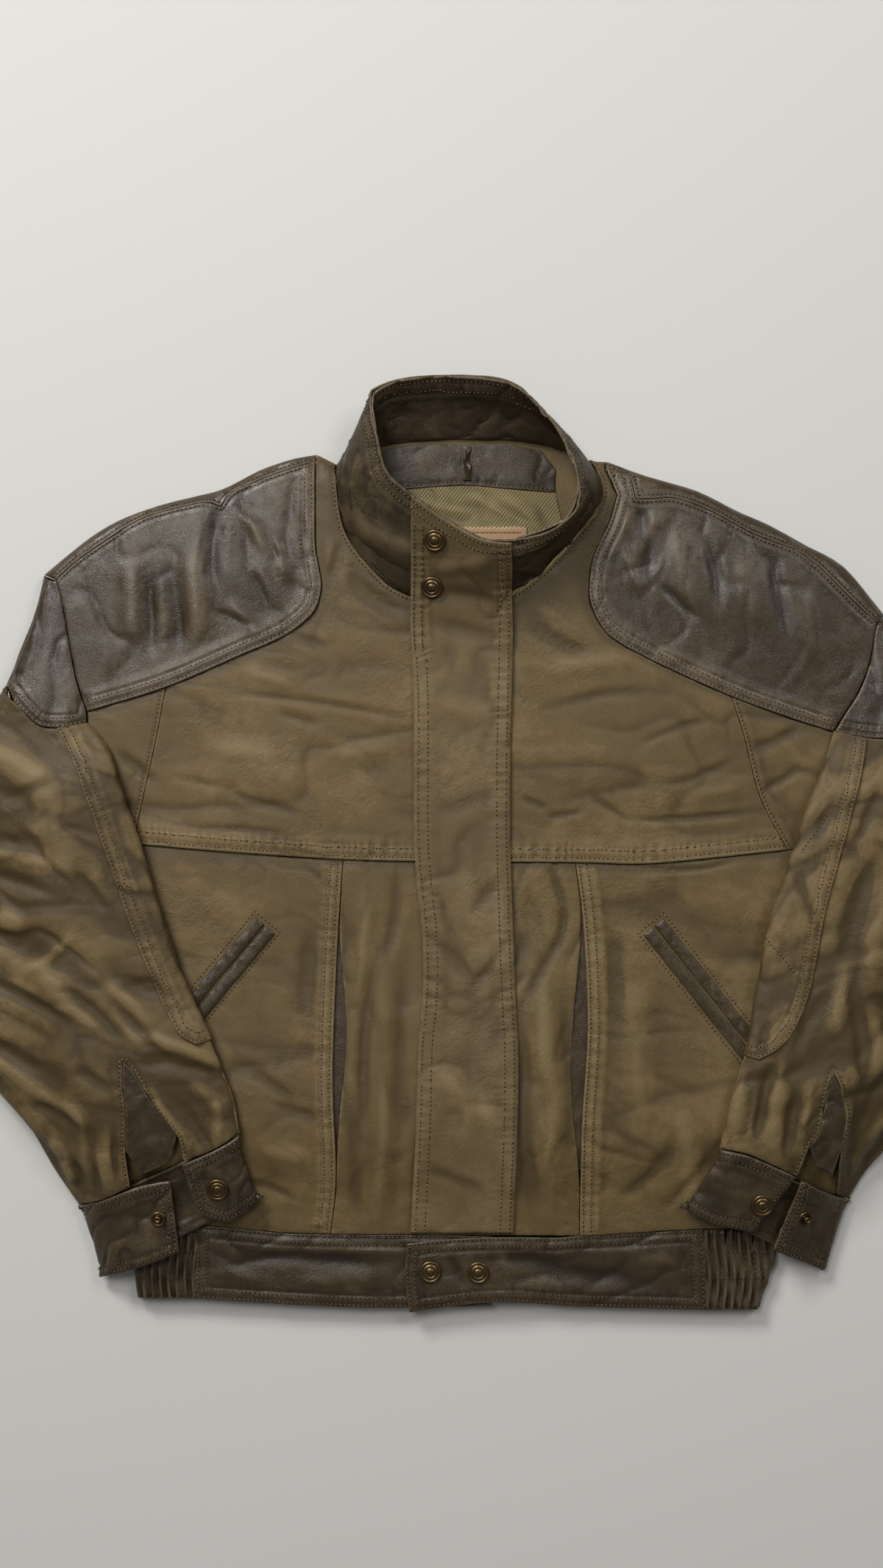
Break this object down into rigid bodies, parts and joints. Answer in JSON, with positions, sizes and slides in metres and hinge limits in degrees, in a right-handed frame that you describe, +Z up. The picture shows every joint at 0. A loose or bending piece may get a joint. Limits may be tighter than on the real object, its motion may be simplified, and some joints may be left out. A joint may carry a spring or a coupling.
{
  "type": "worn leather jacket",
  "caption": "Blouson jacket of worn leather laid flat on its back: stand collar, snap placket, contrast shoulder yokes, slanted welt pockets, elastic waistband and open snap cuffs",
  "frame": {"origin": "on the surface the jacket lies on, below the middle of its box", "axes": "X runs across the jacket towards the wearer's left, Y from the hem to the collar, Z up from the surface"},
  "size_m": [0.7174, 0.6358, 0.053],
  "materials": {
    "olive_leather": "matte olive-brown leather with a pebbled grain, mottled and worn pale at the folded edges",
    "dark_leather": "smooth dark brown leather with a soft gloss and broad creases",
    "striped_lining": "olive-gold lining cloth with fine dark diagonal stripes",
    "label_leather": "plain tan leather with pinked edges",
    "aged_brass": "dark antique brass, rubbed bright on its rings"
  },
  "bodies": {
    "root": {"back_body": "olive_leather", "chest_r": "olive_leather", "chest_l": "olive_leather", "side_panel_r": "olive_leather", "side_panel_l": "olive_leather", "lower_front_r": "olive_leather", "lower_front_l": "olive_leather", "pleat_front_r": "olive_leather", "pleat_front_l": "olive_leather", "placket": "olive_leather", "collar_outer": "olive_leather", "sleeve_top_r": "olive_leather", "sleeve_top_l": "olive_leather", "sleeve_under_r": "olive_leather", "sleeve_under_l": "olive_leather", "elbow_patch_r": "olive_leather", "elbow_patch_l": "olive_leather", "yoke_r": "dark_leather", "yoke_l": "dark_leather", "back_yoke_r": "dark_leather", "back_yoke_l": "dark_leather", "shoulder_wrap_r": "dark_leather", "shoulder_wrap_l": "dark_leather", "sleeve_cap_r": "dark_leather", "sleeve_cap_l": "dark_leather", "under_cap_r": "dark_leather", "under_cap_l": "dark_leather", "cuff_gusset_r": "dark_leather", "cuff_gusset_l": "dark_leather", "cuff_r": "dark_leather", "cuff_l": "dark_leather", "waistband_r": "dark_leather", "waistband_l": "dark_leather", "back_waistband": "dark_leather", "collar_facing": "dark_leather", "neck_facing": "dark_leather", "hanger_loop": "dark_leather", "slit_welt_r": "dark_leather", "slit_welt_l": "dark_leather", "pocket_welt_upper_r": "dark_leather", "pocket_welt_lower_r": "dark_leather", "pocket_welt_upper_l": "dark_leather", "pocket_welt_lower_l": "dark_leather", "back_lining": "striped_lining", "blank_label": "label_leather", "placket_snap_1": "aged_brass", "placket_snap_2": "aged_brass", "waist_snap_1": "aged_brass", "waist_snap_2": "aged_brass", "cuff_snap_r": "aged_brass", "cuff_snap_l": "aged_brass", "cuff_stud_r": "aged_brass", "cuff_stud_l": "aged_brass"}
  },
  "joints": []
}
